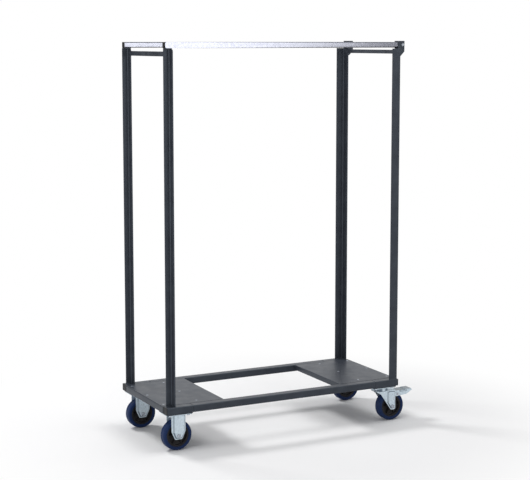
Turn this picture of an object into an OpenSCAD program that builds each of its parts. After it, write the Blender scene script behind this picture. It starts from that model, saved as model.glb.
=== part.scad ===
// Folding chair cart: a welded steel base on four castors, four angle posts, an end rail between
// each pair of posts, and two square tubes along the top that swing up and over at the right end.
// The origin is on the floor under the middle of the whole cart. X runs along its length to the
// swivel end, Y to the back and Z up.

/* [Base frame] */
// Length of the base, end caps included
base_len = 1390; // [1100:10:1800]
// Depth of the base over its two long rails
base_depth = 610; // [520:5:800]
// Height of the rectangular rail tubes
rail_h = 37; // [25:1:50]
// Depth of the long rail tubes
rail_w = 50; // [45:1:70]
// Wall of the rail tubes
rail_wall = 2.5; // [1.5:0.5:4]
// Width of the short rails across the base
short_rail_w = 40; // [30:1:60]
// Distance from each end of the base to the middle of its cross rail
cross_rail_in = 205; // [160:5:260]
// Distance of the welded seam in the long rails from each end
seam_in = 148; // [100:1:180]
// Thickness of the head of the plastic caps in the long rails
rail_cap_t = 3; // [2:0.5:5]

/* [Decks] */
// Length of each sheet steel deck
deck_len = 345; // [300:5:450]
// Thickness of the deck sheet
deck_t = 3; // [2:0.5:5]
// Depth of the folded lip at the inner edge of a deck
deck_lip = 28; // [15:1:34]
// Shank diameter of the deck screws
deck_screw_d = 6; // [4:1:8]
// Number of deck screws along each rail
deck_screw_count = 3; // [2:1:5]

/* [Posts] */
// Length of the posts
post_h = 1815; // [1400:1:2000]
// Thickness of the steel angle
angle_t = 5; // [3:0.5:6]
// Leg of the left posts along the length
left_leg_x = 37; // [30:1:50]
// Leg of the left posts across the depth
left_leg_y = 40; // [30:1:44]
// Distance of the left posts from the left end of the base
left_post_in = 16; // [5:1:30]
// Distance of the left posts from the long edges of the base
left_post_edge = 9; // [2:1:10]
// Leg of the right posts, both ways
right_leg = 50; // [40:1:60]
// Distance of the right posts from the right end of the base
right_post_in = 6; // [0:0.5:8]
// Distance of the right posts from the long edges of the base
right_post_edge = 6; // [2:1:10]
// Height of the flat rail between the left posts
left_top_rail_h = 25; // [15:1:40]
// Height of the flat rail between the right posts
right_top_rail_h = 21; // [15:1:40]
// How far the left top rail lies below the post tops
top_rail_drop_left = 12; // [0:1:40]
// How far the right top rail lies below the post tops
top_rail_drop_right = 7; // [0:1:40]

/* [Top bars] */
// Side of the square tube
bar_w = 30; // [25:1:40]
// Wall of the square tube
bar_wall = 2; // [1.5:0.5:3]
// Distance of the bar's left end from the left end of the base
bar_in = 13; // [0:1:20]
// Distance of the bar's centre line from the long edge of the base
bar_line = 34; // [30:1:45]
// Thickness of the seat plate on the left posts, which carries the bar
seat_t = 5; // [3:0.5:8]
// Diameter of the locating peg on the seat
peg_d = 10; // [6:1:14]
// Height of the locating peg over the seat
peg_h = 14; // [8:1:20]
// Distance of the pivot outside the right posts
pivot_out = 19; // [19:0.5:26]
// Length of the bar beyond its pivot
bar_over = 11; // [10:0.5:13]
// Diameter of the pivot bolt
pivot_d = 8; // [6:1:10]

/* [Bar brackets] */
// Sheet of the folded bracket
bracket_t = 3; // [2:0.5:4]
// Height of the cheeks over the pivot
cheek_up = 21; // [18:1:30]
// Depth of the cheeks under the pivot
cheek_down = 61; // [45:1:80]
// Reach of the cheeks outside the post
cheek_out = 31; // [30:1:45]
// Reach of the cheeks over the top of the post
cheek_over = 9; // [6:1:20]
// Cut corner of the cheeks
cheek_cut = 25; // [10:1:28]
// Diameter of the hole for a locking pin
lock_hole_d = 7; // [4:0.5:9]

/* [Wheels] */
// Diameter over the tyre
wheel_d = 160; // [140:5:170]
// Width of the tyre
tyre_w = 50; // [40:1:50]
// Radial thickness of the tyre
tyre_t = 19; // [12:1:22]
// Depth of the rounded shoulders of the tread
shoulder = 8; // [3:0.5:12]
// Width of the hub's rim
rim_w = 42; // [30:1:46]
// Radial thickness of the hub's rim
rim_t = 10; // [6:1:14]
// Thickness of the hub's web
web_t = 12; // [8:1:20]
// Diameter of the hub's boss
boss_d = 44; // [40:1:56]
// Outer diameter of the ball bearings
bearing_d = 32; // [28:1:36]
// Width of a ball bearing
bearing_w = 10; // [8:1:12]
// Outer diameter of the axle sleeve
sleeve_d = 16; // [15:0.5:20]
// Diameter of the axle bolt
axle_d = 12; // [10:1:13]
// Diameter of the axle's low round heads
axle_head_d = 21; // [19:1:26]
// Diameter of the centre hole in each end of the axle
axle_hole_d = 7; // [3:0.5:8]

/* [Castors] */
// Overall height of a castor
castor_h = 196; // [194:1:215]
// Length of the castor plate
plate_l = 140; // [130:1:160]
// Depth of the castor plate
plate_w = 110; // [100:1:120]
// Thickness of the castor plate
plate_t = 4; // [3:0.5:6]
// Hole spacing along the castor plate
hole_dx = 105; // [100:1:120]
// Hole spacing across the castor plate
hole_dy = 80; // [78:1:90]
// Diameter of the castor bolts
bolt_d = 10; // [8:1:12]
// Thickness of the tapped plate welded under each corner of the base
corner_plate_t = 6; // [4:1:12]
// Distance of the fixed castors' centres from the left end
fixed_in = 78; // [75:1:110]
// Distance of the swivel castors' centres from the right end
swivel_in = 80; // [75:1:110]
// Distance of the castor centres from the long edges
castor_edge = 64; // [60:1:80]
// Clear width between the fork's cheeks
fork_gap = 60; // [59:1:64]
// Sheet of the fork
fork_t = 3; // [2:0.5:4]
// Height of the pressed panel on each cheek
panel_t = 3; // [0.5:0.1:3.5]
// Distance of the wheel's axle behind the swivel axis
trail = 62; // [56:1:66]
// Diameter of the king pin
king_d = 16; // [12:1:20]
// Outer diameter of the swivel head
head_d = 86; // [78:1:96]

/* [Brake] */
// Distance of the pedal's pivot from the swivel axis
pedal_pivot_x = 96; // [94:1:100]
// Height of the pedal's pivot
pedal_pivot_z = 145; // [142:1:148]
// Distance of the pedal's tip from the swivel axis
pedal_reach = 193; // [185:1:220]
// Height of the pedal's top
pedal_top = 165; // [163:0.5:167]
// Sheet of the pedal
pedal_t = 2; // [1.5:0.5:3]
// Gap between the brake shoe and the tyre when released
shoe_gap = 4; // [4:0.5:6]
// Diameter of the pedal's rivets
rivet_d = 8; // [6:0.5:10]

/* [Hidden] */
$fn = 64;

// Colours of the finishes
paint = "#41454d";
galvanised = "#b9bcc4";
zinc = "#b4c2cc";
black_plastic = "#18191b";
tyre_blue = "#22305c";
hub_black = "#1f1d1f";
bearing_steel = "#9a9ea3";

// Cuts run this far past the faces that they open
cut = 1;
// Radial clearance of a pin that stays still in its hole
still_fit = 0.02;
// Radial clearance of a pin or shaft that turns in its hole
running_fit = 0.05;
// Radial clearance of a bolt in a drilled hole
bolt_fit = 0.5;
// Gap between the faces of two pieces that turn or slide on each other
face_gap = 0.25;
// Side gap of a cap's stem in its tube
cap_fit = 0.3;

// Heights
base_z = castor_h + corner_plate_t;
base_top = base_z + rail_h;
post_top = base_top + post_h;
bar_z = post_top + seat_t;
pivot_z = bar_z + bar_w / 2;

// Length and depth: the box of the whole cart is centred on the origin
wheel_r = wheel_d / 2;
reach_left = max(0, wheel_r - fixed_in);
reach_right = pedal_reach - swivel_in;
base_left = -(base_len + reach_right - reach_left) / 2;
base_right = base_left + base_len;
base_front = -base_depth / 2;
short_rail_len = base_depth - 2 * rail_w;

// Base details
seam_w = 1.2;
seam_deep = 0.8;
rail_cap_stem = 16;
short_rail_h = rail_h - deck_t;
deck_gap = 0.5;
deck_head_d = 2 * deck_screw_d;
deck_head_h = 2.5;
deck_head_deep = 0.1;
deck_screw_end = 3;
deck_screw_edge = 40;
corner_margin = 2;
corner_plate_l = plate_l + 2 * corner_margin;
corner_plate_w = plate_w + 2 * corner_margin;

// Posts and top rails
post_round = 12;
left_web_x = base_left + left_post_in + left_leg_x - angle_t;
right_face = base_right - right_post_in;

// Bars and brackets
pivot_x = right_face + pivot_out;
bar_left = base_left + bar_in;
bar_right = pivot_x + bar_over;
bar_y = base_front + bar_line;
bar_side_gap = 0.5;
bar_cap_t = 3;
bar_cap_stem = 4;
peg_x = base_left + left_post_in + left_leg_x / 2;
peg_clear = 1;
bracket_in = bar_w / 2 + bar_side_gap;
bracket_half = bracket_in + bracket_t;
lock_hole_out = 8;
lock_hole_drop = 7;
lock_hole_x = right_face + lock_hole_out;
lock_hole_z = post_top - lock_hole_drop;

// Hexagon heads and nuts, as shares of the bolt's diameter: half the width over the corners, and
// the height
hex_half = 0.9;
hex_height = 0.6;
pivot_head = hex_half * pivot_d;
pivot_head_h = hex_height * pivot_d;
bolt_head = hex_half * bolt_d;
bolt_head_h = hex_height * bolt_d;

// Wheels
axle_z = wheel_r;
axle_head_h = 4;
axle_hole_deep = 5;
hub_r = wheel_r - tyre_t;
boss_side_gap = 1;
boss_w = fork_gap - 2 * boss_side_gap;
hub_bore_gap = 1;
tread_slope = 0.3;
tyre_side_low = 4;

// Forks
fork_out = fork_gap / 2 + fork_t;
plate_z = castor_h - plate_t;
cheek_top_w = 79;
cheek_bottom_w = 40;
cheek_taper = 23;
cheek_below = 20;
panel_in = 7;
crown_t = 4;
crown_over = 10;
crown_z = wheel_d + crown_over;
crown_top = crown_z + crown_t;
crown_front = 38;
crown_lip = 2;
// Bend in the front edge of a swivel fork's cheek: its place before the swivel axis, and its depth
// under the crown
bend_front = 12;
bend_low = 16;
cheek_behind = 20;
cheek_back = trail + cheek_behind;
// Lower end of a swivel fork's cheek: its depth under the axle, its front edge and its cut corners
tip_low = 19;
tip_front = 14;
tip_corner = 6;
// Front edge of the panel on that cheek, before the axle, and the height of its bend over the axle
panel_front = 25;
panel_bend = 14;
panel_toe = 8;

// Swivel head
cup_wall = 3.5;
cup_gap = 0.8;
cup_top_gap = 3;
race_r = head_d / 2 - cup_wall - cup_gap;
race_in_r = 0.6 * race_r;
ball_r = 2.3;
ball_count = 18;
race_z = crown_top + 2 * ball_r + 2 * face_gap;
cup_top = plate_z - cup_top_gap;
king_flange_r = 18;
king_flange_h = 6.5;

// Pedal, from the swivel axis: heights of its flange under the pivot, and lengths past it
pedal_side_gap = 0.8;
pedal_half = fork_gap / 2 - pedal_side_gap;
pedal_fork_gap = 2;
pedal_start = cheek_back + pedal_fork_gap;
pedal_nose_r = 4;
pedal_under = 10;
pedal_low = pedal_pivot_z - pedal_under;
pedal_low_out = 16;
pedal_knee_out = 60;
pedal_knee_up = 3;
pedal_pad_t = 2.5;
pedal_pad_l = 38;
shoe_from = 52;
shoe_x = trail + shoe_from;
shoe_l = 16;
shoe_half = 14;
ear_r = 11;
rivet_head = 1.75;
rivet_head_d = rivet_head * rivet_d;
rivet_head_h = 2.5;

fixed_x = base_left + fixed_in;
swivel_x = base_right - swivel_in;
castor_y = base_front + castor_edge;

// Turns a piece made for the front over to the rear
module rear_of(is_rear) {
    mirror([0, is_rear ? 1 : 0, 0]) children();
}

// A cylinder with its axis along Y, from y_low to y_high
module rod_y(x, z, r, y_low, y_high) {
    translate([x, y_high, z]) rotate([90, 0, 0]) cylinder(r = r, h = y_high - y_low);
}

// A hexagon prism along Y: r is half the distance over its corners
module hex_y(x, z, r, y_low, y_high) {
    translate([x, y_high, z]) rotate([90, 0, 0]) cylinder(r = r, h = y_high - y_low, $fn = 6);
}

// A plate in the XZ plane, from y_low to y_high
module plate_xz(points, y_low, y_high) {
    translate([0, y_high, 0]) rotate([90, 0, 0]) linear_extrude(y_high - y_low) polygon(points);
}

// Box given by its two corners
module box(low, high) {
    translate(low) cube(high - low);
}

// Long rail: a rectangular tube with a ground weld seam near each end
module base_rail(is_rear) {
    color(paint) rear_of(is_rear) difference() {
        box([base_left + rail_cap_t, base_front, base_z],
            [base_right - rail_cap_t, base_front + rail_w, base_top]);
        box([base_left - cut, base_front + rail_wall, base_z + rail_wall],
            [base_right + cut, base_front + rail_w - rail_wall, base_top - rail_wall]);
        for (x = [base_left + seam_in, base_right - seam_in])
            box([x - seam_w / 2, base_front - cut, base_z - cut],
                [x + seam_w / 2, base_front + seam_deep, base_top + cut]);
    }
}

// Plastic caps in the four ends of the long rails
module rail_caps() {
    color(black_plastic) for (is_rear = [false, true], is_right = [false, true])
        rear_of(is_rear) {
            x = is_right ? base_right : base_left;
            s = is_right ? -1 : 1;
            translate([x, base_front, base_z]) scale([s, 1, 1]) {
                cube([rail_cap_t, rail_w, rail_h]);
                translate([0, rail_wall + cap_fit, rail_wall + cap_fit])
                    cube([rail_cap_t + rail_cap_stem, rail_w - 2 * (rail_wall + cap_fit),
                        rail_h - 2 * (rail_wall + cap_fit)]);
            }
        }
}

// The Y places of the deck screws
function screw_ys() =
    let (span = short_rail_len - 2 * deck_screw_edge)
    [for (i = [0:deck_screw_count - 1]) -span / 2 + span * i / (deck_screw_count - 1)];

// Short tube across the base, with its middle at x
module short_rail(x) {
    color(paint) difference() {
        box([x - short_rail_w / 2, -short_rail_len / 2, base_z],
            [x + short_rail_w / 2, short_rail_len / 2, base_z + short_rail_h]);
        box([x - short_rail_w / 2 + rail_wall, -short_rail_len / 2 - cut, base_z + rail_wall],
            [x + short_rail_w / 2 - rail_wall, short_rail_len / 2 + cut,
                base_z + short_rail_h - rail_wall]);
        for (y = screw_ys())
            translate([x, y, base_z + short_rail_h - rail_wall - cut])
                cylinder(d = deck_screw_d + 2 * running_fit, h = rail_wall + 2 * cut);
    }
}

end_rail_x = [base_left + short_rail_w / 2, base_right - short_rail_w / 2];
cross_rail_x = [base_left + cross_rail_in, base_right - cross_rail_in];

// Deck: a sheet on the end rail and the cross rail, with a lip folded down at its inner edge. The
// right deck is notched round the feet of the right posts
module deck(side) {
    x_out = side == 0 ? base_left : base_right;
    s = side == 0 ? 1 : -1;
    half = short_rail_len / 2 - deck_gap;
    foot = right_post_edge + right_leg + deck_gap;
    color(paint) difference() {
        translate([x_out, 0, 0]) scale([s, 1, 1]) {
            box([0, -half, base_top - deck_t], [deck_len, half, base_top]);
            box([deck_len - deck_t, -half, base_top - deck_lip], [deck_len, half, base_top]);
        }
        if (side == 1) for (is_rear = [false, true]) rear_of(is_rear)
            box([right_face - angle_t - deck_gap, base_front, base_top - deck_t - cut],
                [base_right + cut, base_front + foot, base_top + cut]);
        for (x = [end_rail_x[side], cross_rail_x[side]], y = screw_ys())
            translate([x, y, base_top]) {
                translate([0, 0, -deck_t - cut])
                    cylinder(d = deck_screw_d + 2 * bolt_fit, h = deck_t + 2 * cut);
                translate([0, 0, -deck_head_h])
                    cylinder(d1 = deck_screw_d + 2 * bolt_fit, d2 = deck_head_d + 2 * bolt_fit,
                        h = deck_head_h);
            }
    }
}

// Bright countersunk screws that hold both decks, their heads just under the decks' surface
module deck_screws() {
    shank = deck_t + rail_wall + deck_screw_end;
    color(zinc) for (x = concat(end_rail_x, cross_rail_x), y = screw_ys())
        translate([x, y, base_top - deck_head_deep]) {
            translate([0, 0, -deck_head_h])
                cylinder(d1 = deck_screw_d, d2 = deck_head_d, h = deck_head_h);
            translate([0, 0, -shank]) cylinder(d = deck_screw_d, h = shank - deck_head_h + cut);
        }
}

// Places of the four bolts of a castor, from its middle
bolt_places = [for (i = [-1, 1], j = [-1, 1]) [i * hole_dx / 2, j * hole_dy / 2]];
// Middles of the four castors
castor_places = [for (x = [fixed_x, swivel_x], y = [castor_y, -castor_y]) [x, y]];

// Tapped plates welded under the corners of the base
module corner_plates() {
    color(paint) for (place = castor_places)
        translate([place[0], place[1], castor_h]) difference() {
            translate([-corner_plate_l / 2, -corner_plate_w / 2, 0])
                cube([corner_plate_l, corner_plate_w, corner_plate_t]);
            for (b = bolt_places)
                translate([b[0], b[1], -cut])
                    cylinder(d = bolt_d + 2 * running_fit, h = corner_plate_t + 2 * cut);
        }
}

// Sixteen hexagon bolts, four to a castor, screwed up into the corner plates
module castor_bolts() {
    color(zinc) for (place = castor_places, b = bolt_places)
        translate([place[0] + b[0], place[1] + b[1], 0]) {
            translate([0, 0, plate_z - bolt_head_h]) cylinder(r = bolt_head, h = bolt_head_h, $fn = 6);
            translate([0, 0, plate_z - cut]) cylinder(d = bolt_d, h = base_z - plate_z + cut);
        }
}

// Left post: an angle whose corner points to the back and the middle of the cart
module left_post(y) {
    x = base_left + left_post_in;
    color(paint) difference() {
        translate([x, y, base_top]) linear_extrude(post_h) polygon([
            [0, left_leg_y - angle_t], [left_leg_x - angle_t, left_leg_y - angle_t],
            [left_leg_x - angle_t, 0], [left_leg_x, 0],
            [left_leg_x, left_leg_y], [0, left_leg_y]]);
        difference() {
            box([left_web_x - cut, y - cut, post_top - post_round],
                [left_web_x + angle_t + cut, y + post_round, post_top + cut]);
            translate([left_web_x - 2 * cut, y + post_round, post_top - post_round])
                rotate([0, 90, 0]) cylinder(r = post_round, h = angle_t + 4 * cut);
        }
    }
}

left_post_front_y = base_front + left_post_edge;
left_post_rear_y = -base_front - left_post_edge - left_leg_y;

// Right post: an angle whose corner is the outer corner of the cart
module right_post(is_rear) {
    y = base_front + right_post_edge;
    color(paint) rear_of(is_rear) translate([right_face, y, base_top]) linear_extrude(post_h)
        polygon([
            [0, 0], [0, right_leg], [-angle_t, right_leg], [-angle_t, angle_t],
            [-right_leg, angle_t], [-right_leg, 0]]);
}

// Flat rail between the two left posts
module top_rail_left() {
    color(paint) box(
        [left_web_x, left_post_front_y + left_leg_y, post_top - top_rail_drop_left - left_top_rail_h],
        [left_web_x + angle_t, left_post_rear_y, post_top - top_rail_drop_left]);
}

// Flat rail between the two right posts
module top_rail_right() {
    half = base_depth / 2 - right_post_edge - right_leg;
    color(paint) box(
        [right_face - angle_t, -half, post_top - top_rail_drop_right - right_top_rail_h],
        [right_face, half, post_top - top_rail_drop_right]);
}

// Seat: a plate welded on a left post, with a peg that locates the bar
module bar_seat(is_rear) {
    y = is_rear ? left_post_rear_y : left_post_front_y;
    front = is_rear ? 0 : post_round;
    x = base_left + left_post_in;
    color(paint) {
        box([x, y + front, post_top], [x + left_leg_x, y + left_leg_y, bar_z]);
        translate([peg_x, is_rear ? -bar_y : bar_y, bar_z - cut]) cylinder(d = peg_d, h = peg_h + cut);
    }
}

// Outline of a bracket's cheek, from the post's outer face and the pivot's height
function cheek_outline() =
    let (top = pivot_z + cheek_up, low = pivot_z - cheek_down, out = right_face + cheek_out)
    [[right_face - cheek_over, top], [out, top], [out, low + cheek_cut], [out - cheek_cut, low],
        [right_face, low], [right_face, post_top], [right_face - cheek_over, post_top]];

// Bracket: a folded sheet welded to a right post, with a cheek on each side of the bar
module bar_bracket(is_rear) {
    color(paint) rear_of(is_rear) difference() {
        union() {
            for (s = [-1, 1])
                plate_xz(cheek_outline(),
                    bar_y + (s < 0 ? -bracket_half : bracket_in),
                    bar_y + (s < 0 ? -bracket_in : bracket_half));
            box([right_face, bar_y - bracket_half, pivot_z - cheek_down],
                [right_face + bracket_t, bar_y + bracket_half, post_top]);
        }
        rod_y(pivot_x, pivot_z, pivot_d / 2 + running_fit,
            bar_y - bracket_half - cut, bar_y + bracket_half + cut);
        rod_y(lock_hole_x, lock_hole_z, lock_hole_d / 2,
            bar_y - bracket_half - cut, bar_y + bracket_half + cut);
    }
}

// Pivot bolt with its nut
module pivot_bolt(is_rear) {
    color(zinc) rear_of(is_rear) {
        rod_y(pivot_x, pivot_z, pivot_d / 2,
            bar_y - bracket_half - cut, bar_y + bracket_half + pivot_head_h + cut);
        hex_y(pivot_x, pivot_z, pivot_head,
            bar_y - bracket_half - pivot_head_h, bar_y - bracket_half);
        difference() {
            hex_y(pivot_x, pivot_z, pivot_head,
                bar_y + bracket_half, bar_y + bracket_half + pivot_head_h);
            rod_y(pivot_x, pivot_z, pivot_d / 2 + still_fit,
                bar_y + bracket_half - cut, bar_y + bracket_half + pivot_head_h + cut);
        }
    }
}

// Top bar: a galvanised square tube with its pivot holes and the hole for the peg
module top_bar(is_rear) {
    half = bar_w / 2;
    color(galvanised) rear_of(is_rear) difference() {
        box([bar_left + bar_cap_t, bar_y - half, bar_z],
            [bar_right - bar_cap_t, bar_y + half, bar_z + bar_w]);
        box([bar_left - cut, bar_y - half + bar_wall, bar_z + bar_wall],
            [bar_right + cut, bar_y + half - bar_wall, bar_z + bar_w - bar_wall]);
        rod_y(pivot_x, pivot_z, pivot_d / 2 + running_fit, bar_y - half - cut, bar_y + half + cut);
        translate([peg_x, bar_y, bar_z - cut])
            cylinder(d = peg_d + 2 * peg_clear, h = bar_wall + 2 * cut);
    }
}

// Plastic caps in the two ends of a top bar
module bar_caps(is_rear) {
    stem = bar_w - 2 * (bar_wall + cap_fit);
    color(black_plastic) rear_of(is_rear) for (is_right = [false, true])
        translate([is_right ? bar_right : bar_left, bar_y, pivot_z])
            scale([is_right ? -1 : 1, 1, 1]) {
                translate([0, -bar_w / 2, -bar_w / 2]) cube([bar_cap_t, bar_w, bar_w]);
                translate([0, -stem / 2, -stem / 2]) cube([bar_cap_t + bar_cap_stem, stem, stem]);
            }
}

// Castor plate with its four bolt holes
module castor_plate_blank() {
    difference() {
        translate([-plate_l / 2, -plate_w / 2, plate_z]) cube([plate_l, plate_w, plate_t]);
        for (b = bolt_places)
            translate([b[0], b[1], plate_z - cut])
                cylinder(d = bolt_d + 2 * bolt_fit, h = plate_t + 2 * cut);
    }
}

// Outline of a fixed castor's cheek, drawn in by an inset
function fixed_cheek(inset) =
    let (top = cheek_top_w / 2 - inset, bottom = cheek_bottom_w / 2 - inset)
    [[-top, plate_z - (inset > 0 ? inset : -cut)], [top, plate_z - (inset > 0 ? inset : -cut)],
        [top, axle_z + cheek_taper], [bottom, axle_z - cheek_below + inset],
        [-bottom, axle_z - cheek_below + inset], [-top, axle_z + cheek_taper]];

// Fixed fork: the plate and its two cheeks in one pressing
module fixed_fork() {
    color(zinc) difference() {
        union() {
            castor_plate_blank();
            for (s = [-1, 1]) {
                plate_xz(fixed_cheek(0), s < 0 ? -fork_out : fork_gap / 2,
                    s < 0 ? -fork_gap / 2 : fork_out);
                plate_xz(fixed_cheek(panel_in), s < 0 ? -fork_out - panel_t : fork_out - cut,
                    s < 0 ? -fork_out + cut : fork_out + panel_t);
            }
        }
        rod_y(0, axle_z, axle_d / 2 + running_fit, -2 * fork_out, 2 * fork_out);
    }
}

// Outline of a swivel castor's cheek, raked back to the axle
swivel_cheek = [
    [-crown_front, crown_top], [cheek_back, crown_top],
    [cheek_back, axle_z - tip_low + tip_corner], [cheek_back - tip_corner, axle_z - tip_low],
    [trail - tip_front + tip_corner, axle_z - tip_low],
    [trail - tip_front, axle_z - tip_low + tip_corner], [-bend_front, crown_z - bend_low],
    [-crown_front, crown_z - crown_lip]];
// Outline of the pressed panel on that cheek
swivel_panel = [
    [trail - panel_front, crown_z - panel_in], [cheek_back - panel_in, crown_z - panel_in],
    [cheek_back - panel_in, axle_z - panel_toe - tip_corner / 2],
    [trail - panel_toe, axle_z - panel_toe - tip_corner / 2],
    [trail - panel_front, axle_z + panel_bend]];

// Swivel fork: crown, race cup and cheeks, with an ear on each cheek for the pedal
module swivel_fork() {
    color(zinc) difference() {
        union() {
            translate([0, 0, crown_z]) cylinder(d = head_d, h = cup_top - crown_z);
            box([-crown_front, -fork_out, crown_z], [cheek_back, fork_out, crown_top]);
            for (s = [-1, 1]) {
                y_low = s < 0 ? -fork_out : fork_gap / 2;
                y_high = s < 0 ? -fork_gap / 2 : fork_out;
                plate_xz(swivel_cheek, y_low, y_high);
                plate_xz(swivel_panel, s < 0 ? -fork_out - panel_t : fork_out - cut,
                    s < 0 ? -fork_out + cut : fork_out + panel_t);
                rod_y(pedal_pivot_x, pedal_pivot_z, ear_r, y_low, y_high);
                box([cheek_back - cut, y_low, pedal_pivot_z - ear_r],
                    [pedal_pivot_x, y_high, pedal_pivot_z + ear_r]);
            }
        }
        translate([0, 0, crown_top]) cylinder(r = head_d / 2 - cup_wall, h = castor_h);
        translate([0, 0, crown_z - cut]) cylinder(d = king_d + 2 * running_fit, h = castor_h);
        rod_y(trail, axle_z, axle_d / 2 + running_fit, -2 * fork_out, 2 * fork_out);
        rod_y(pedal_pivot_x, pedal_pivot_z, rivet_d / 2 + still_fit, -2 * fork_out, 2 * fork_out);
    }
}

// Plate of a swivel castor, with the hole that the king pin is riveted into
module swivel_plate() {
    color(zinc) difference() {
        castor_plate_blank();
        translate([0, 0, plate_z - cut]) cylinder(d = king_d + 2 * still_fit, h = plate_t + 2 * cut);
    }
}

// Upper race and its balls
module ball_race() {
    color(bearing_steel) {
        translate([0, 0, race_z]) difference() {
            cylinder(r = race_r, h = plate_z - race_z);
            translate([0, 0, -cut]) cylinder(r = race_in_r, h = plate_z - race_z + 2 * cut);
        }
        for (i = [0:ball_count - 1])
            rotate([0, 0, i * 360 / ball_count])
                translate([(race_r + race_in_r) / 2, 0, crown_top + face_gap + ball_r])
                    sphere(r = ball_r);
    }
}

// King pin, riveted into the plate, with the flange that carries the fork
module king_pin() {
    flange_top = crown_z - face_gap;
    color(zinc) {
        translate([0, 0, flange_top - cut]) cylinder(d = king_d, h = castor_h - flange_top + cut);
        translate([0, 0, flange_top - king_flange_h]) cylinder(r = king_flange_r, h = king_flange_h);
    }
}

// Axle: a bolt with a low round head, its round nut, and the sleeve that the bearings run on
module axle(x, out) {
    end = out + axle_head_h;
    color(zinc) {
        difference() {
            union() {
                rod_y(x, axle_z, axle_d / 2, -out - cut, end);
                rod_y(x, axle_z, axle_head_d / 2, -end, -out);
            }
            rod_y(x, axle_z, axle_hole_d / 2, -end - cut, -end + axle_hole_deep);
            rod_y(x, axle_z, axle_hole_d / 2, end - axle_hole_deep, end + cut);
        }
        difference() {
            rod_y(x, axle_z, axle_head_d / 2, out, end);
            rod_y(x, axle_z, axle_d / 2 + still_fit, out - cut, end + cut);
        }
        difference() {
            rod_y(x, axle_z, sleeve_d / 2, -fork_gap / 2, fork_gap / 2);
            rod_y(x, axle_z, axle_d / 2 + still_fit, -fork_gap, fork_gap);
        }
    }
}

// Turns a profile of radius and width about the wheel's axle
module wheel_turn(x) {
    translate([x, 0, axle_z]) rotate([90, 0, 0]) rotate_extrude($fn = 96) children();
}

// Hub: rim, web and boss, bored for a bearing at each end
module hub(x) {
    bore = sleeve_d / 2 + hub_bore_gap;
    color(hub_black) wheel_turn(x) difference() {
        union() {
            translate([hub_r - rim_t, -rim_w / 2]) square([rim_t, rim_w]);
            translate([boss_d / 2 - cut, -web_t / 2]) square([hub_r - boss_d / 2, web_t]);
            translate([bore, -boss_w / 2]) square([boss_d / 2 - bore, boss_w]);
        }
        for (s = [-1, 1])
            translate([0, s * (boss_w / 2 - bearing_w / 2 + cut / 2) - (bearing_w + cut) / 2])
                square([bearing_d / 2 + still_fit, bearing_w + cut]);
    }
}

// Outline of one half of the tyre's section, as radius and width
function tyre_half() =
    let (half = tyre_w / 2, inner = hub_r + still_fit)
    [[inner, half], [wheel_r - tyre_side_low, half],
        [wheel_r - tyre_side_low * tread_slope, half - shoulder * tread_slope],
        [wheel_r, half - shoulder]];

// Elastic rubber tyre with a flat tread and eased shoulders
module tyre(x) {
    upper = tyre_half();
    lower = [for (i = [len(upper) - 1:-1:0]) [upper[i][0], -upper[i][1]]];
    color(tyre_blue) wheel_turn(x) polygon(concat(upper, lower));
}

// The two ball bearings of a wheel
module bearings(x) {
    inner = sleeve_d / 2 + running_fit;
    color(bearing_steel) wheel_turn(x) for (y = [-boss_w / 2, boss_w / 2 - bearing_w])
        translate([inner, y]) square([bearing_d / 2 - inner, bearing_w]);
}

// Outline of the pedal's side flange
pedal_side = [
    [pedal_start, pedal_top], [pedal_reach - pedal_nose_r, pedal_top],
    [pedal_reach - pedal_nose_r, pedal_top - 2 * pedal_nose_r],
    [pedal_pivot_x + pedal_knee_out, pedal_low + pedal_knee_up],
    [pedal_pivot_x + pedal_low_out, pedal_low],
    [pedal_pivot_x, pedal_low], [pedal_start, pedal_low + pedal_knee_up]];

// Brake pedal: a channel that straddles the tyre, with a raised pad at its tip
module pedal() {
    flange = pedal_half - pedal_t;
    color(zinc) difference() {
        union() {
            box([pedal_start, -pedal_half, pedal_top - pedal_t],
                [pedal_reach - pedal_nose_r, pedal_half, pedal_top]);
            rod_y(pedal_reach - pedal_nose_r, pedal_top - pedal_nose_r, pedal_nose_r,
                -pedal_half, pedal_half);
            box([pedal_reach - pedal_nose_r - pedal_pad_l, -flange, pedal_top - cut],
                [pedal_reach - pedal_nose_r, flange, pedal_top + pedal_pad_t]);
            for (s = [-1, 1])
                plate_xz(pedal_side, s < 0 ? -pedal_half : flange, s < 0 ? -flange : pedal_half);
        }
        rod_y(pedal_pivot_x, pedal_pivot_z, rivet_d / 2 + running_fit, -2 * fork_out, 2 * fork_out);
    }
}

// The two rivets that the pedal turns on
module pedal_rivets() {
    color(zinc) for (s = [-1, 1]) {
        inner = pedal_half - pedal_t;
        rod_y(pedal_pivot_x, pedal_pivot_z, rivet_d / 2,
            s < 0 ? -fork_out - cut : inner, s < 0 ? -inner : fork_out + cut);
        rod_y(pedal_pivot_x, pedal_pivot_z, rivet_head_d / 2,
            s < 0 ? -fork_out - rivet_head_h : fork_out, s < 0 ? -fork_out : fork_out + rivet_head_h);
    }
}

// Brake shoe under the pedal, cut to the curve of the tyre
module brake_shoe() {
    color(black_plastic) difference() {
        box([shoe_x, -shoe_half, axle_z], [shoe_x + shoe_l, shoe_half, pedal_top - pedal_t]);
        rod_y(trail, axle_z, wheel_r + shoe_gap, -2 * shoe_half, 2 * shoe_half);
    }
}

// Puts a castor's piece at the left or right end, front or rear
module at_fixed(is_rear) {
    translate([fixed_x, is_rear ? -castor_y : castor_y, 0]) children();
}
module at_swivel(is_rear) {
    translate([swivel_x, is_rear ? -castor_y : castor_y, 0]) children();
}

fixed_axle_out = fork_out + panel_t;

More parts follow.
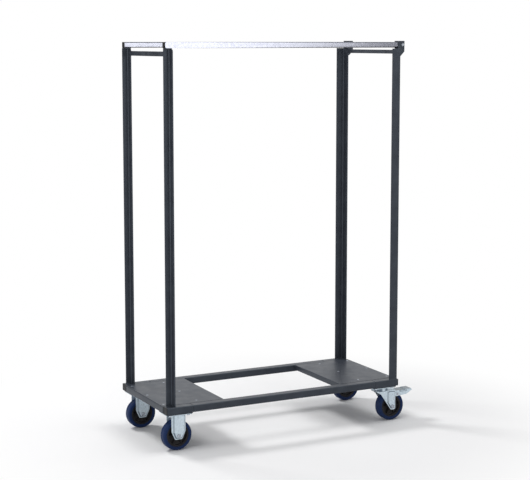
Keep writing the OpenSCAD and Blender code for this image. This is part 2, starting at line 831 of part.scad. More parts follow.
base_rail(false);  // base_rail_front
base_rail(true);  // base_rail_rear
short_rail(end_rail_x[0]);  // end_rail_left
short_rail(end_rail_x[1]);  // end_rail_right
short_rail(cross_rail_x[0]);  // cross_rail_left
short_rail(cross_rail_x[1]);  // cross_rail_right
deck(0);  // deck_left
deck(1);  // deck_right
deck_screws();
rail_caps();
corner_plates();
left_post(left_post_front_y);  // post_front_left
left_post(left_post_rear_y);  // post_rear_left
right_post(false);  // post_front_right
right_post(true);  // post_rear_right
top_rail_left();
top_rail_right();
bar_seat(false);  // bar_seat_front
bar_seat(true);  // bar_seat_rear
bar_bracket(false);  // bar_bracket_front
bar_bracket(true);  // bar_bracket_rear
pivot_bolt(false);  // pivot_bolt_front
pivot_bolt(true);  // pivot_bolt_rear
top_bar(false);  // top_bar_front
top_bar(true);  // top_bar_rear
bar_caps(false);  // bar_caps_front
bar_caps(true);  // bar_caps_rear
castor_bolts();
at_fixed(false) fixed_fork();  // fork_front_left
at_fixed(false) axle(0, fixed_axle_out);  // axle_front_left
at_fixed(false) hub(0);  // hub_front_left
at_fixed(false) tyre(0);  // tyre_front_left
at_fixed(false) bearings(0);  // bearings_front_left
at_fixed(true) fixed_fork();  // fork_rear_left
at_fixed(true) axle(0, fixed_axle_out);  // axle_rear_left
at_fixed(true) hub(0);  // hub_rear_left
at_fixed(true) tyre(0);  // tyre_rear_left
at_fixed(true) bearings(0);  // bearings_rear_left
at_swivel(false) swivel_plate();  // castor_plate_front
at_swivel(false) ball_race();  // ball_race_front
at_swivel(false) king_pin();  // king_pin_front
at_swivel(false) swivel_fork();  // fork_front_right
at_swivel(false) axle(trail, fixed_axle_out);  // axle_front_right
at_swivel(false) hub(trail);  // hub_front_right
at_swivel(false) tyre(trail);  // tyre_front_right
at_swivel(false) bearings(trail);  // bearings_front_right
at_swivel(false) pedal();  // pedal_front
at_swivel(false) pedal_rivets();  // pedal_rivets_front
at_swivel(false) brake_shoe();  // brake_shoe_front
at_swivel(true) swivel_plate();  // castor_plate_rear
at_swivel(true) ball_race();  // ball_race_rear
at_swivel(true) king_pin();  // king_pin_rear
at_swivel(true) swivel_fork();  // fork_rear_right
at_swivel(true) axle(trail, fixed_axle_out);  // axle_rear_right
at_swivel(true) hub(trail);  // hub_rear_right
at_swivel(true) tyre(trail);  // tyre_rear_right
at_swivel(true) bearings(trail);  // bearings_rear_right
at_swivel(true) pedal();  // pedal_rear
at_swivel(true) pedal_rivets();  // pedal_rivets_rear
at_swivel(true) brake_shoe();  // brake_shoe_rear
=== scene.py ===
import math

import bmesh
import bpy
from mathutils import Matrix, Vector


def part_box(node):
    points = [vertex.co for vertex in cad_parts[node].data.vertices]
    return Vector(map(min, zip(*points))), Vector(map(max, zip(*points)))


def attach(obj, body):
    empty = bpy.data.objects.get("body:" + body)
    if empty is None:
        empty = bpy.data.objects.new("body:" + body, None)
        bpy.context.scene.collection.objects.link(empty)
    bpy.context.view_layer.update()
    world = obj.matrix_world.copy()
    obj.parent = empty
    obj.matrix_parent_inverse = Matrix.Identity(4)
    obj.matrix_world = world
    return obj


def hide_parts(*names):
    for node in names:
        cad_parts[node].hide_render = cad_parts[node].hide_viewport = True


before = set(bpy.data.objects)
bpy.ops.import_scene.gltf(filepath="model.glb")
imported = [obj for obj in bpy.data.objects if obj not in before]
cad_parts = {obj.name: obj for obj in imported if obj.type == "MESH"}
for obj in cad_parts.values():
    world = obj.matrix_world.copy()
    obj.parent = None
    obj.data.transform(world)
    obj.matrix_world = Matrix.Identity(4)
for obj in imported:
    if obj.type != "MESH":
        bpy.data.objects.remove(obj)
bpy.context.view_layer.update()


# Long base rails: rectangular steel tube, 50 by 37 mm with rounded corners, cut square and coated
# with anthracite powder. Each is joined from three lengths, and the two welds are ground flush,
# which leaves a fine line round the tube near both ends.
MM = 0.001
RAIL_CORNER = 5.0
SEAM_FROM_END = 145.0


def colour(code):
    """Linear colour of an sRGB hex value."""
    parts = [int(code[i:i + 2], 16) / 255 for i in (1, 3, 5)]
    return tuple(p / 12.92 if p <= 0.04045 else ((p + 0.055) / 1.055) ** 2.4 for p in parts) + (1.0,)


def start_material(name, settings):
    """A material with values set on its own shader; returns both."""
    material = bpy.data.materials.new(name)
    material.use_nodes = True
    shader = material.node_tree.nodes["Principled BSDF"]
    for socket, value in settings.items():
        shader.inputs[socket].default_value = value
    return material, shader


def add(material, kind, settings=None, links=None, stops=()):
    """Adds a node with its settings, its links and, for a ramp, its stops."""
    node = material.node_tree.nodes.new(kind)
    for name, value in (settings or {}).items():
        if isinstance(name, str) and hasattr(node, name):
            setattr(node, name, value)
        else:
            node.inputs[name].default_value = value
    for socket, source in (links or {}).items():
        material.node_tree.links.new(source, node.inputs[socket])
    for i, (place, shade) in enumerate(stops):
        element = node.color_ramp.elements[i] if i < 2 else node.color_ramp.elements.new(place)
        element.position = place
        element.color = shade
    return node


def join(material, source, shader, socket):
    """Links a node's output to a socket of the shader."""
    material.node_tree.links.new(source, shader.inputs[socket])


def turned_face_shade(material, full=0.88, most=1.0):
    """A mask for painted shade: 0 on the faces that lie square to the cart, and up to most where they turn
    away from that.
    """
    normal = add(material, "ShaderNodeTexCoord").outputs["Normal"]
    lengths = add(material, "ShaderNodeVectorMath", {"operation": "ABSOLUTE"}, {0: normal})
    along = add(material, "ShaderNodeSeparateXYZ", None, {0: lengths.outputs[0]})
    level = add(material, "ShaderNodeMath", {"operation": "MAXIMUM"},
                {0: along.outputs[0], 1: along.outputs[1]})
    square = add(material, "ShaderNodeMath", {"operation": "MAXIMUM"},
                 {0: level.outputs[0], 1: along.outputs[2]})
    turned_off = add(material, "ShaderNodeMapRange", {"From Min": 0.998, "From Max": full, "To Max": most},
                     {"Value": square.outputs[0]})
    return turned_off.outputs[0]


# Polyester powder coat, baked on steel: a satin anthracite skin. The orange peel of 1.5 mm breaks up
# its highlights, slow drifts of 60 mm change how matt it is, and fine scuffs show a little lighter.
powder_coat, shader = start_material("anthracite_powder_coat", {
    "Base Color": colour("#2e3238"), "Roughness": 0.4, "IOR": 1.5,
    "Specular IOR Level": 0.4, "Specular Tint": (0.74, 0.86, 1.0, 1.0)})
place = add(powder_coat, "ShaderNodeTexCoord").outputs["Object"]
drift = add(powder_coat, "ShaderNodeTexNoise", {"Scale": 1 / (60 * MM), "Detail": 3.0}, {"Vector": place})
tone = add(powder_coat, "ShaderNodeValToRGB", None, {"Fac": drift.outputs[0]},
           [(0.32, colour("#2a2d34")), (0.68, colour("#33373e"))])
scuff_place = add(powder_coat, "ShaderNodeMapping", {"Scale": (1.0, 1.0, 0.25)}, {"Vector": place})
scuff = add(powder_coat, "ShaderNodeTexNoise", {"Scale": 1 / (7 * MM), "Detail": 6.0, "Roughness": 0.65},
            {"Vector": scuff_place.outputs[0]})
scuffs_and_top_shade = add(powder_coat, "ShaderNodeMapRange", {"From Min": 0.66, "From Max": 0.74, "To Max": 0.35},
             {"Value": scuff.outputs[0]})
skin_colour = add(powder_coat, "ShaderNodeMix", {"data_type": "RGBA", 7: colour("#4c4f57")},
                  {0: scuffs_and_top_shade.outputs[0], 6: tone.outputs[0]})
matt = add(powder_coat, "ShaderNodeMapRange",
           {"From Min": 0.3, "From Max": 0.7, "To Min": 0.36, "To Max": 0.48}, {"Value": drift.outputs[0]})
peel = add(powder_coat, "ShaderNodeTexNoise", {"Scale": 1 / (1.5 * MM), "Detail": 1.0}, {"Vector": place})
skin = add(powder_coat, "ShaderNodeBump", {"Strength": 0.2, "Distance": 0.2 * MM},
           {"Height": peel.outputs[0]})
join(powder_coat, skin_colour.outputs[2], shader, "Base Color")
join(powder_coat, matt.outputs[0], shader, "Roughness")
join(powder_coat, skin.outputs[0], shader, "Normal")


def cad_mm(node):
    """Lowest and highest corner of a CAD node, in millimetres."""
    low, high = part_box(node)
    return low / MM, high / MM


def outline(corners, radii, inset=0.0, steps=5):
    """A closed outline with each corner eased by its radius, drawn in by an inset."""
    count = len(corners)
    corners = [Vector(c) for c in corners]
    radii = radii if isinstance(radii, (list, tuple)) else [radii] * count
    way = 1 if sum(a.cross(b) for a, b in zip(corners, corners[1:] + corners[:1])) > 0 else -1
    points = []
    for i, here in enumerate(corners):
        into = (here - corners[i - 1]).normalized()
        out = (corners[(i + 1) % count] - here).normalized()
        inward = Vector((-into.y, into.x)) * way
        inward_after = Vector((-out.y, out.x)) * way
        corner = here + (inward + inward_after) * (inset / (1 + inward.dot(inward_after)))
        bend = 1 if into.cross(out) * way > 0 else -1
        if not radii[i]:
            points.append(corner)
            continue
        radius = max(radii[i] - inset * bend, 0.05)
        turn = into.angle(out)
        start = corner - into * (radius * math.tan(turn / 2))
        centre = start + inward * (radius * bend)
        for k in range(steps + 1):
            part_turn = Matrix.Rotation(-turn * k / steps * bend * way, 2).inverted()
            points.append(centre + part_turn @ (start - centre))
    return points


def ends(start, stop, ease):
    """Stations of a sweep from start to stop whose two ends are eased by a radius."""
    way = 1 if stop > start else -1
    angles = [math.radians(a) for a in (0, 30, 60, 90)]
    arc = [(ease * (1 - math.cos(a)), ease * (1 - math.sin(a))) for a in angles]
    return [(start + way * d, i) for d, i in arc] + [(stop - way * d, i) for d, i in reversed(arc)]


def sweep(shape, corners, radii, axis, stations, steps=5):
    """Adds a solid: the outline, in mm, carried along an axis through stations of place and inset."""
    rings = []
    for at, inset in stations:
        ring = []
        for u, v in outline(corners, radii, inset, steps):
            spot = {"x": (at, u, v), "y": (u, at, v), "z": (u, v, at)}[axis]
            ring.append(shape.verts.new(Vector(spot) * MM))
        rings.append(ring)
    for a, b in zip(rings, rings[1:]):
        for i in range(len(a)):
            shape.faces.new((a[i - 1], a[i], b[i], b[i - 1]))
    shape.faces.new(rings[0])
    shape.faces.new(rings[-1])


def box_corners(low, high, axes):
    """The four corners of a box's outline in two of its axes."""
    (u0, v0), (u1, v1) = [[corner["xyz".index(a)] for a in axes] for corner in (low, high)]
    return [(u0, v0), (u1, v0), (u1, v1), (u0, v1)]


def finish_piece(name, shape, material, body, nodes=(), ease=0.0):
    """Makes a piece of a mesh, breaks its edges by ease in mm, and lets it stand for its CAD nodes."""
    bmesh.ops.remove_doubles(shape, verts=shape.verts, dist=1e-6)
    bmesh.ops.recalc_face_normals(shape, faces=shape.faces)
    for face in shape.faces:
        face.smooth = True
    mesh = bpy.data.meshes.new(name)
    shape.to_mesh(mesh)
    shape.free()
    mesh.set_sharp_from_angle(angle=math.radians(34))
    mesh.materials.append(material)
    piece = bpy.data.objects.new(name, mesh)
    bpy.context.scene.collection.objects.link(piece)
    if ease:
        broken = piece.modifiers.new("broken_edges", "BEVEL")
        broken.width = ease * MM
        broken.segments = 2
        broken.limit_method = "ANGLE"
        broken.angle_limit = math.radians(34)
    even = piece.modifiers.new("even_shading", "WEIGHTED_NORMAL")
    even.keep_sharp = True
    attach(piece, body)
    if nodes:
        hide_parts(*nodes)
    return piece


for side in ("front", "rear"):
    name = "base_rail_" + side
    low, high = cad_mm(name)
    seams = (low.x + SEAM_FROM_END, high.x - SEAM_FROM_END)
    stations = ends(low.x, high.x, 0.6)
    line = [(-2.4, 0.0), (-1.1, 1.6), (1.1, 1.6), (2.4, 0.0)]
    stations[4:4] = [(seam + d, inset) for seam in seams for d, inset in line]
    shape = bmesh.new()
    sweep(shape, box_corners(low, high, "yz"), RAIL_CORNER, "x", stations)
    finish_piece(name, shape, powder_coat, "frame", [name])

# Short rails: four pieces of steel tube, 40 mm wide, set between the long rails 3 mm low, so that
# the decks lie flush. They are welded at their sides and below, and the beads are left as laid.


def weld(shape, path, radius, ripple=4.5):
    """Adds a weld bead along a path in mm: a round rope with a ripple for each drop of the weld."""
    points = [Vector(p) for p in path]
    spots = []
    for a, b in zip(points, points[1:]):
        count = max(2, round((b - a).length / 1.5))
        spots += [a.lerp(b, k / count) for k in range(count)]
    spots.append(points[-1])
    rings, gone = [], 0.0
    for i, spot in enumerate(spots):
        way = (spots[min(i + 1, len(spots) - 1)] - spots[max(i - 1, 0)]).normalized()
        across = way.orthogonal().normalized()
        up = way.cross(across)
        gone += (spot - spots[i - 1]).length if i else 0.0
        end = min(i, len(spots) - 1 - i)
        swell = 1 + 0.14 * math.sin(2 * math.pi * gone / ripple) + 0.06 * math.sin(gone / 7.3)
        r = radius * swell * min(1, 0.35 + 0.3 * end)
        rings.append([shape.verts.new((spot + (across * math.cos(a) + up * math.sin(a)) * r) * MM)
                      for a in (2 * math.pi * k / 8 for k in range(8))])
    for a, b in zip(rings, rings[1:]):
        for k in range(8):
            shape.faces.new((a[k - 1], a[k], b[k], b[k - 1]))
    shape.faces.new(rings[0])
    shape.faces.new(rings[-1])


for name in ("end_rail_left", "cross_rail_left", "cross_rail_right", "end_rail_right"):
    low, high = cad_mm(name)
    shape = bmesh.new()
    sweep(shape, box_corners(low, high, "xz"), RAIL_CORNER - 1, "y", [(low.y, 0.0), (high.y, 0.0)])
    for y in (low.y, high.y):
        foot = [(low.x, y, high.z - 4), (low.x, y, low.z + 3), (low.x + 4, y, low.z),
                (high.x - 4, y, low.z), (high.x, y, low.z + 3), (high.x, y, high.z - 4)]
        weld(shape, foot, 1.6)
    finish_piece(name, shape, powder_coat, "frame", [name])

# Corner plates: steel plate 6 mm thick, tapped for the castor bolts, and welded under the corners.
low, high = cad_mm("corner_plates")
shape = bmesh.new()
plate_x, plate_y = 144.0, 114.0
for x0 in (low.x, high.x - plate_x):
    for y0 in (low.y, high.y - plate_y):
        far = (x0 + plate_x, y0 + plate_y, high.z)
        sweep(shape, box_corners((x0, y0, low.z), far, "xy"), 5.0, "z", ends(low.z, high.z, 0.7))
        outer_y = (y0 + plate_y) if y0 > 0 else y0
        weld(shape, [(x0 + 12, outer_y, high.z), (x0 + 62, outer_y, high.z)], 2.0)
        weld(shape, [(x0 + plate_x - 62, outer_y, high.z), (x0 + plate_x - 12, outer_y, high.z)], 2.0)
finish_piece("corner_plates", shape, powder_coat, "frame", ["corner_plates"])

# Decks: 3 mm sheet with the inner edge folded down, laid between the long rails on an end rail and
# a cross rail. The fold has a 4 mm radius, the cut edges are broken before coating, and the right
# deck is notched round the feet of its posts.


def from_cad(*names):
    """The solids of CAD nodes as one mesh, with the facets of each flat face merged."""
    shape = bmesh.new()
    for name in names:
        shape.from_mesh(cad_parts[name].data)
    bmesh.ops.remove_doubles(shape, verts=shape.verts, dist=1e-6)
    bmesh.ops.dissolve_limit(shape, angle_limit=math.radians(0.4), verts=shape.verts, edges=shape.edges)
    return shape


def round_edges(shape, wanted, radius, steps=4):
    """Rounds those sharp edges, by a radius in mm, for which wanted(middle, way) is true."""
    chosen = []
    for edge in shape.edges:
        a, b = (v.co / MM for v in edge.verts)
        sharp = len(edge.link_faces) == 2 and edge.calc_face_angle(0) > 0.5
        if sharp and wanted((a + b) / 2, (b - a).normalized()):
            chosen.append(edge)
    bmesh.ops.bevel(shape, geom=chosen, offset=radius * MM, segments=steps, profile=0.5, affect="EDGES",
                    clamp_overlap=True)


for side, fold in (("left", 1), ("right", 0)):
    name = "deck_" + side
    low, high = cad_mm(name)
    fold_x = (low.x, high.x)[fold]
    shape = from_cad(name)
    round_edges(shape, lambda p, way: abs(way.y) > 0.99 and abs(p.x - fold_x) < 0.1
                and abs(p.z - high.z) < 0.1, 4.0)
    finish_piece(name, shape, powder_coat, "frame", [name], 0.4)

# Deck screws: twelve raised countersunk steel screws with a hexagon socket, bright zinc plated and
# driven through the decks into the rails under them.

# Zinc plating, bright and blue passivated: a smooth pale metal skin with a cool cast. It clouds
# over patches of 12 mm, and faint streaks of the rinse run down it.


def zinc_plating(name, light, dark, bend, roughness):
    """Bright zinc of two tones on a plated steel part, with a third, darker colour as painted shade on the
    faces turned off the cart's axes.
    """
    plating, shader = start_material(name, {
        "Base Color": colour(light), "Metallic": 0.6, "Roughness": roughness})
    place = add(plating, "ShaderNodeTexCoord").outputs["Object"]
    cloud = add(plating, "ShaderNodeTexNoise", {"Scale": 1 / (12 * MM), "Detail": 4.0, "Roughness": 0.6},
                {"Vector": place})
    tone = add(plating, "ShaderNodeValToRGB", None, {"Fac": cloud.outputs[0]},
               [(0.3, colour(dark)), (0.62, colour(light))])
    streak_place = add(plating, "ShaderNodeMapping", {"Scale": (1.0, 1.0, 0.12)}, {"Vector": place})
    streak = add(plating, "ShaderNodeTexNoise", {"Scale": 1 / (3 * MM), "Detail": 3.0},
                 {"Vector": streak_place.outputs[0]})
    matt = add(plating, "ShaderNodeMapRange", {"From Min": 0.3, "From Max": 0.7, "To Min": roughness - 0.08,
                                               "To Max": roughness + 0.1}, {"Value": streak.outputs[0]})
    roll = add(plating, "ShaderNodeBump", {"Strength": 0.12, "Distance": 0.15 * MM},
               {"Height": streak.outputs[0]})
    # Painted shade: the third colour is laid where the faces turn off the cart's axes.
    painted_turn_shade = add(plating, "ShaderNodeMix", {"data_type": "RGBA", 7: colour(bend)},
                {0: turned_face_shade(plating, 0.95), 6: tone.outputs[0]})
    join(plating, painted_turn_shade.outputs[2], shader, "Base Color")
    join(plating, matt.outputs[0], shader, "Roughness")
    join(plating, roll.outputs[0], shader, "Normal")
    return plating


# The third colour, #8e959f, is painted shade on the faces of the fasteners that turn off the cart's axes.
zinc_fasteners = zinc_plating("bright_zinc_on_fasteners", "#c6ccd4", "#a8b0ba", "#8e959f", 0.28)


def turned(shape, profile, radii, centre, axis, steps=48, arc=4):
    """Adds a turned solid: a profile of radius and length, in mm, turned about an axis at centre."""
    rings = []
    section = outline(profile, radii, 0.0, arc)
    for k in range(steps):
        a = 2 * math.pi * k / steps
        ring = []
        for r, along in section:
            r = max(r, 0.0)
            u, v = r * math.cos(a), r * math.sin(a)
            spot = {"x": (along, u, v), "y": (u, along, v), "z": (u, v, along)}[axis]
            ring.append(shape.verts.new((Vector(centre) + Vector(spot)) * MM))
        rings.append(ring)
    for i in range(steps):
        a, b = rings[i - 1], rings[i]
        for k in range(len(a)):
            shape.faces.new((a[k - 1], a[k], b[k], b[k - 1]))


def socket_screw(shape, x, y, z):
    """A raised countersunk head, 12 mm across, with a hexagon socket of 4 mm."""
    rings = []
    flat = math.pi / 3
    hexagon = [2.3 * math.cos(flat / 2) / math.cos(flat * ((k / 4) % 1) - flat / 2) for k in range(24)]
    for radius, height in ((3.1, -2.4), (6.0, -0.2), (5.9, 0.15), (5.0, 0.5), (4.0, 0.75), (None, 0.9),
                           (None, -1.6)):
        ring = []
        for k in range(24):
            r, a = radius or hexagon[k], 2 * math.pi * k / 24
            ring.append(shape.verts.new(Vector((x + r * math.cos(a), y + r * math.sin(a), z + height)) * MM))
        rings.append(ring)
    for a, b in zip(rings, rings[1:]):
        for k in range(24):
            shape.faces.new((a[k - 1], a[k], b[k], b[k - 1]))
    shape.faces.new(rings[0])
    shape.faces.new(rings[-1])


low, high = cad_mm("deck_screws")
deck_top = cad_mm("deck_left")[1].z
shape = from_cad("deck_screws")
first_row, last_row = low.y + 6, high.y - 6
columns = [(cad_mm(n)[0].x + cad_mm(n)[1].x) / 2 for n in
           ("end_rail_left", "cross_rail_left", "cross_rail_right", "end_rail_right")]
for x in columns:
    for row in range(3):
        socket_screw(shape, x, first_row + (last_row - first_row) * row / 2, deck_top)
finish_piece("deck_screws", shape, zinc_fasteners, "frame", ["deck_screws"])

# Rail caps: black polyethylene plugs with a flange, pressed into the open ends of the long rails.

# Moulded black polyethylene: a matt grain of 0.8 mm from the mould and a waxy, uneven sheen.


def moulded(name, dark, light, roughness, grain):
    """A moulded plastic of two near tones with a mould's grain in mm."""
    plastic, shader = start_material(name, {"Base Color": colour(dark), "Roughness": roughness, "IOR": 1.5,
                                            "Specular IOR Level": 0.25})
    place = add(plastic, "ShaderNodeTexCoord").outputs["Object"]
    cloud = add(plastic, "ShaderNodeTexNoise", {"Scale": 1 / (25 * MM), "Detail": 3.0}, {"Vector": place})
    tone = add(plastic, "ShaderNodeValToRGB", None, {"Fac": cloud.outputs[0]},
               [(0.35, colour(dark)), (0.7, colour(light))])
    matt = add(plastic, "ShaderNodeMapRange", {"From Min": 0.3, "From Max": 0.7, "To Min": roughness - 0.07,
                                               "To Max": roughness + 0.08}, {"Value": cloud.outputs[0]})
    pits = add(plastic, "ShaderNodeTexNoise", {"Scale": 1 / (grain * MM), "Detail": 2.0}, {"Vector": place})
    bump = add(plastic, "ShaderNodeBump", {"Strength": 0.25, "Distance": 0.15 * MM},
               {"Height": pits.outputs[0]})
    join(plastic, tone.outputs[0], shader, "Base Color")
    join(plastic, matt.outputs[0], shader, "Roughness")
    join(plastic, bump.outputs[0], shader, "Normal")
    return plastic


black_plastic = moulded("moulded_black_polyethylene", "#121315", "#1a1b1d", 0.5, 0.8)
shape = bmesh.new()
low, high = cad_mm("rail_caps")
for side in ("front", "rear"):
    rail_low, rail_high = cad_mm("base_rail_" + side)
    corners = box_corners(rail_low, rail_high, "yz")
    inside = box_corners(rail_low + Vector((0, 2.8, 2.8)), rail_high - Vector((0, 2.8, 2.8)), "yz")
    for out, into, s in ((low.x, rail_low.x, 1), (high.x, rail_high.x, -1)):
        sweep(shape, corners, RAIL_CORNER, "x", ends(out, into, 1.2))
        sweep(shape, inside, 2.2, "x", [(into, 0.0), (into + 14 * s, 0.0), (into + 16 * s, 1.0)])
finish_piece("rail_caps", shape, black_plastic, "frame", ["rail_caps"])

# Left posts: hot-rolled angle of 37 by 40 mm, 5 mm thick, with its fillet inside and round toes. The
# corner points to the back and to the middle of the cart, and the front toe is rounded at the top.
ANGLE_T = 5.0
POST_ROUND = 12.0


def angle_post(shape, corners, radii, low_z, high_z, toe=None):
    """Adds an angle bar. The toe at y = toe, if there is one, is rounded off at the top."""
    stations = [(low_z, 0.3), (low_z + 0.5, 0.0)]
    if toe:
        stations += [(high_z - POST_ROUND * (1 - math.sin(math.radians(a))), 0.0) for a in range(0, 84, 9)]
    stations += [(high_z - 0.5, 0.0), (high_z, 0.4)]
    before = len(shape.verts)
    sweep(shape, corners, radii, "z", stations)
    shape.verts.ensure_lookup_table()
    if toe:
        for v in shape.verts[before:]:
            y, z = v.co.y / MM, v.co.z / MM
            over = z - (high_z - POST_ROUND)
            if abs(y - toe) < 4 and over > 0:
                v.co.y += (POST_ROUND - math.sqrt(max(POST_ROUND ** 2 - over ** 2, 0.0))) * MM


for side in ("front", "rear"):
    name = "post_" + side + "_left"
    low, high = cad_mm(name)
    t = ANGLE_T
    corners = [(low.x, high.y - t), (high.x - t, high.y - t), (high.x - t, low.y), (high.x, low.y),
               (high.x, high.y), (low.x, high.y)]
    shape = bmesh.new()
    angle_post(shape, corners, [2.6, 7.5, 2.6, 0.6, 1.2, 0.6], low.z, high.z, low.y)
    weld(shape, [(high.x, low.y + 2, low.z), (high.x, high.y - 1, low.z), (high.x - 1, high.y, low.z),
                 (low.x + 1, high.y, low.z), (low.x, high.y - 1, low.z), (low.x, high.y - t, low.z)], 2.3)
    weld(shape, [(low.x + 3, high.y - t, low.z), (high.x - t - 3, high.y - t, low.z),
                 (high.x - t, high.y - t - 3, low.z), (high.x - t, low.y + 3, low.z)], 2.3)
    finish_piece(name, shape, powder_coat, "frame", [name])

# Right posts: heavier equal angle of 50 mm, with the corner at the outer corner of the cart.
for side, s in (("front", 1), ("rear", -1)):
    name = "post_" + side + "_right"
    low, high = cad_mm(name)
    t = ANGLE_T
    outer, inner = (low.y, high.y) if s > 0 else (high.y, low.y)
    corners = [(high.x, outer), (high.x, inner), (high.x - t, inner), (high.x - t, outer + t * s),
               (low.x, outer + t * s), (low.x, outer)]
    shape = bmesh.new()
    angle_post(shape, corners, [1.2, 0.6, 2.6, 7.5, 2.6, 0.6], low.z, high.z)
    weld(shape, [(low.x + 1, outer, low.z), (high.x - 1, outer, low.z), (high.x, outer + s, low.z),
                 (high.x, inner - 3 * s, low.z)], 2.4)
    weld(shape, [(low.x + 3, outer + t * s, low.z), (high.x - t - 3, outer + t * s, low.z),
                 (high.x - t, outer + (t + 3) * s, low.z), (high.x - t, inner - 3 * s, low.z)], 2.4)
    finish_piece(name, shape, powder_coat, "frame", [name])

# Top rails: flat bar 5 mm thick, 25 mm high at the left and 21 mm at the right, welded between the
# two posts of each end.
for name in ("top_rail_left", "top_rail_right"):
    low, high = cad_mm(name)
    shape = bmesh.new()
    sweep(shape, box_corners(low, high, "xz"), 0.9, "y", [(low.y, 0.0), (high.y, 0.0)], 3)
    for y in (low.y, high.y):
        weld(shape, [(low.x, y, low.z + 1), (low.x, y, high.z - 1)], 1.9)
        weld(shape, [(high.x, y, low.z + 1), (high.x, y, high.z - 1)], 1.9)
    finish_piece(name, shape, powder_coat, "frame", [name])

# Bar seats: a 5 mm plate welded on each left post, with a peg that enters the hole in the bar.
SEAT_T, PEG_R = 5.0, 5.0
for side in ("front", "rear"):
    name = "bar_seat_" + side
    low, high = cad_mm(name)
    _, post_high = cad_mm("post_" + side + "_left")
    top = post_high.z + SEAT_T
    peg_x = (low.x + high.x) / 2
    bar_low, bar_high = cad_mm("top_bar_" + side)
    peg_y = (bar_low.y + bar_high.y) / 2
    shape = bmesh.new()
    sweep(shape, box_corners(low, high, "xy"), 1.5, "z", ends(post_high.z, top, 0.6))
    turned(shape, [(0, top - 2), (PEG_R, top - 2), (PEG_R, high.z), (0, high.z)], [0, 0, 3.2, 0],
           (peg_x, peg_y, 0), "z", 32)
    turned(shape, [(0, top - 1), (PEG_R + 1.6, top - 0.2), (PEG_R, top + 1.8), (0, top + 1.8)],
           [0, 0.3, 0.6, 0], (peg_x, peg_y, 0), "z", 32)
    weld(shape, [(low.x + 2, high.y, post_high.z), (high.x - 2, high.y, post_high.z)], 1.8)
    finish_piece(name, shape, powder_coat, "frame", [name])

# Bar brackets: 3 mm sheet folded to a fork round the end of the bar and welded to the right post.
# The cheeks have a cut corner below, the pivot hole and a small hole for a locking pin.
for side in ("front", "rear"):
    name = "bar_bracket_" + side
    low, high = cad_mm(name)
    _, post_high = cad_mm("post_" + side + "_right")
    shape = from_cad(name)
    round_edges(shape, lambda p, way: abs(way.z) > 0.99 and p.x < post_high.x + 0.1 and p.z < post_high.z
                and min(abs(p.y - low.y), abs(p.y - high.y)) < 0.1, 3.6)
    round_edges(shape, lambda p, way: abs(way.y) > 0.99 and p.x > high.x - 0.1 and p.z > high.z - 0.1, 2.0)
    for y, out in ((low.y, -1), (high.y, 1)):
        seam_x, seam_y = post_high.x + 0.4, y - 0.2 * out
        weld(shape, [(seam_x, seam_y, low.z + 6), (seam_x, seam_y, low.z + 36)], 1.7)
    finish_piece(name, shape, powder_coat, "frame", [name], 0.5)

# Pivot bolts: M8 hexagon bolts with a washer under the head and under the nut.
for side in ("front", "rear"):
    name = "pivot_bolt_" + side
    low, high = cad_mm(name)
    bracket_low, bracket_high = cad_mm("bar_bracket_" + side)
    x, z = (low.x + high.x) / 2, (low.z + high.z) / 2
    shape = from_cad(name)
    for y, out in ((bracket_low.y, -1), (bracket_high.y, 1)):
        washer = [(4.1, y), (7.6, y), (7.6, y + 1.4 * out), (4.1, y + 1.4 * out)]
        turned(shape, washer, 0.35, (x, 0, z), "y", 32, 2)
    finish_piece(name, shape, zinc_fasteners, "frame", [name], 0.6)

# Top bars: square steel tube, 30 mm with 2 mm walls, hot-dip galvanised. The tube has round corners,
# a pivot hole near its right end and a hole for the peg under its left end.

# Hot-dip galvanising: pale zinc that froze in crystals of 6 to 9 mm, each a little lighter or darker
# and glossier or duller than the next, with dull grey runs along the tube.
galvanised, shader = start_material("hot_dip_galvanised_steel", {
    "Base Color": colour("#a3a5af"), "Metallic": 1.0, "Roughness": 0.26})
place = add(galvanised, "ShaderNodeTexCoord").outputs["Object"]
warp = add(galvanised, "ShaderNodeTexNoise", {"Scale": 1 / (9 * MM), "Detail": 2.0}, {"Vector": place})
shift = add(galvanised, "ShaderNodeVectorMath", {"operation": "MULTIPLY_ADD", 1: (4 * MM,) * 3},
            {0: warp.outputs["Color"], 2: place})
crystal = add(galvanised, "ShaderNodeTexVoronoi", {"Scale": 1 / (8 * MM)}, {"Vector": shift.outputs[0]})
grey = add(galvanised, "ShaderNodeSeparateColor", None, {0: crystal.outputs["Color"]})
run_place = add(galvanised, "ShaderNodeMapping", {"Scale": (0.08, 1.0, 1.0)}, {"Vector": place})
run = add(galvanised, "ShaderNodeTexNoise", {"Scale": 1 / (14 * MM), "Detail": 3.0},
          {"Vector": run_place.outputs[0]})
both = add(galvanised, "ShaderNodeMath", {"operation": "MULTIPLY_ADD", 1: 0.45},
           {0: grey.outputs[0], 2: run.outputs[0]})
tone = add(galvanised, "ShaderNodeValToRGB", None, {"Fac": both.outputs[0]},
           [(0.3, colour("#9a9ca7")), (1.0, colour("#aaacb6"))])
matt = add(galvanised, "ShaderNodeMapRange", {"To Min": 0.24, "To Max": 0.3}, {"Value": grey.outputs[1]})
grain = add(galvanised, "ShaderNodeBump", {"Strength": 0.05, "Distance": 0.05 * MM},
            {"Height": crystal.outputs["Distance"]})
# Painted shade: the rounded edges of the tube are coloured near black, #3c3f46, so that they outline the
# bar.
painted_turn_shade = add(galvanised, "ShaderNodeMix", {"data_type": "RGBA", 7: colour("#3c3f46")},
            {0: turned_face_shade(galvanised, 0.97), 6: tone.outputs[0]})
join(galvanised, painted_turn_shade.outputs[2], shader, "Base Color")
join(galvanised, matt.outputs[0], shader, "Roughness")
join(galvanised, grain.outputs[0], shader, "Normal")

